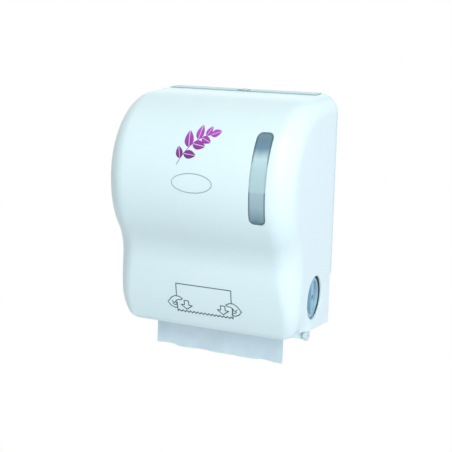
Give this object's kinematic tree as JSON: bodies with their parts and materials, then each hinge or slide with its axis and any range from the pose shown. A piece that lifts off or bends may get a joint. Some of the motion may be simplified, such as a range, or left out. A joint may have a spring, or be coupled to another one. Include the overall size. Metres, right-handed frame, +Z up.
{
  "type": "auto-cut lever paper towel dispenser",
  "caption": "Wall-mounted roll paper towel dispenser with a bulged hinged cover, a smoky level window, a side feed knob and a hanging paper tail.",
  "frame": {"origin": "centre of the four wall screws, on the wall's face (the back of the rear housing)", "axes": "+X right as a user faces the front, +Y out of the back towards the wall, +Z up"},
  "size_m": [0.295, 0.2114, 0.4058],
  "materials": {
    "cover_plastic": "satin white moulding with a faint cyan cast",
    "housing_plastic": "satin off-white moulding",
    "window_smoke": "smoky blue-grey clear plastic",
    "knob_plastic": "satin blue-grey",
    "inner_plastic": "satin light grey moulding",
    "dark_plastic": "satin dark grey moulding",
    "steel": "bright steel",
    "blade_steel": "ground steel",
    "lock_metal": "bright plated",
    "grip_rubber": "matt",
    "roller_rubber": "matt",
    "towel_paper": "soft embossed paper",
    "core_board": "spiral-wound grey-brown board"
  },
  "bodies": {
    "root": {"rear_housing": "housing_plastic", "hinge_pin_left": "steel", "hinge_pin_right": "steel", "lock_barrel": "lock_metal", "arm_pin_left": "steel", "arm_pin_right": "steel", "shaft_bush_left": "dark_plastic", "shaft_bush_right": "dark_plastic", "pawl_pin": "steel", "anchor_pin": "steel", "assist_spring": "steel", "gear_cover": "inner_plastic", "side_frame_left": "inner_plastic", "side_frame_right": "inner_plastic", "tie_bars": "steel", "frame_screws": "steel", "carrier_rod": "steel", "paper_guide": "inner_plastic", "paper_tail": "towel_paper", "paper_web": "towel_paper"},
    "cover": {"front_cover": "cover_plastic", "level_window": "window_smoke", "strike_hook": "housing_plastic"},
    "lock": {"lock_plug": "lock_metal", "lock_cam": "steel", "cam_screw": "steel"},
    "arm_right": {"roll_arm_right": "inner_plastic"},
    "arm_left": {"roll_arm_left": "inner_plastic"},
    "hub_right": {"roll_hub_right": "dark_plastic", "hub_clip_right": "steel"},
    "hub_left": {"roll_hub_left": "dark_plastic", "hub_clip_left": "steel"},
    "roll": {"roll_core": "core_board", "paper_roll": "towel_paper"},
    "drum": {"drum_shell_upper": "inner_plastic", "drum_shell_lower": "inner_plastic", "grip_bands": "grip_rubber", "drum_shaft": "steel", "feed_knob": "knob_plastic", "knob_screw": "steel", "crank_disc": "dark_plastic", "crank_pin": "steel", "knife_rod": "steel"},
    "knife": {"knife_bar": "dark_plastic", "knife_blade": "blade_steel"},
    "carrier": {"pinch_carrier": "inner_plastic", "carrier_springs": "steel"},
    "pinch": {"pinch_axle": "steel", "pinch_rollers": "roller_rubber"},
    "pawl": {"stop_pawl": "dark_plastic"}
  },
  "joints": [
    {"name": "cover_hinge", "type": "hinge", "parent": "root", "child": "cover", "pos_m": [0, -0.098, -0.2155], "axis": [1, 0, 0], "range_deg": [0, 75]},
    {"name": "lock_turn", "type": "hinge", "parent": "root", "child": "lock", "pos_m": [0, -0.015, 0.127], "axis": [0, 0, 1], "range_deg": [0, 90]},
    {"name": "roll_arm_right_swing", "type": "hinge", "parent": "root", "child": "arm_right", "pos_m": [0.1116, -0.014, 0.019], "axis": [0, 0, 1], "range_deg": [0, 8], "stiffness_Nm_per_rad": 0.5},
    {"name": "roll_arm_left_swing", "type": "hinge", "parent": "root", "child": "arm_left", "pos_m": [-0.1116, -0.014, 0.019], "axis": [0, 0, -1], "range_deg": [0, 8], "stiffness_Nm_per_rad": 0.5},
    {"name": "drum_spin", "type": "hinge", "parent": "root", "child": "drum", "pos_m": [0, -0.0825, -0.1605], "axis": [1, 0, 0], "continuous": true, "deforming": ["assist_spring"]},
    {"name": "knife_swing", "type": "hinge", "parent": "drum", "child": "knife", "pos_m": [0, -0.09586, -0.191], "axis": [-1, 0, 0], "range_deg": [0, 22], "stiffness_Nm_per_rad": 0.1, "springref_deg": -11.46},
    {"name": "carrier_lift", "type": "hinge", "parent": "root", "child": "carrier", "pos_m": [0, -0.04, -0.097], "axis": [-1, 0, 0], "range_deg": [0, 4], "stiffness_Nm_per_rad": 2, "springref_deg": -5.73},
    {"name": "pinch_spin", "type": "hinge", "parent": "carrier", "child": "pinch", "pos_m": [0, -0.07719, -0.10998], "axis": [1, 0, 0], "continuous": true},
    {"name": "roll_spin", "type": "hinge", "parent": "root", "child": "roll", "pos_m": [0, -0.108, 0.019], "axis": [1, 0, 0], "continuous": true},
    {"name": "hub_right_spin", "type": "hinge", "parent": "arm_right", "child": "hub_right", "pos_m": [0.1116, -0.108, 0.019], "axis": [1, 0, 0], "continuous": true},
    {"name": "hub_left_spin", "type": "hinge", "parent": "arm_left", "child": "hub_left", "pos_m": [-0.1116, -0.108, 0.019], "axis": [1, 0, 0], "continuous": true},
    {"name": "pawl_swing", "type": "hinge", "parent": "root", "child": "pawl", "pos_m": [0, -0.05, -0.125], "axis": [1, 0, 0], "range_deg": [0, 12], "stiffness_Nm_per_rad": 0.05, "springref_deg": -5.73}
  ],
  "couplings": [
    {"joint": "pinch_spin", "follows": "drum_spin", "ratio": -5.3},
    {"joint": "roll_spin", "follows": "drum_spin", "ratio": -1.1459},
    {"joint": "hub_right_spin", "follows": "drum_spin", "ratio": -1.1459},
    {"joint": "hub_left_spin", "follows": "drum_spin", "ratio": -1.1459}
  ]
}
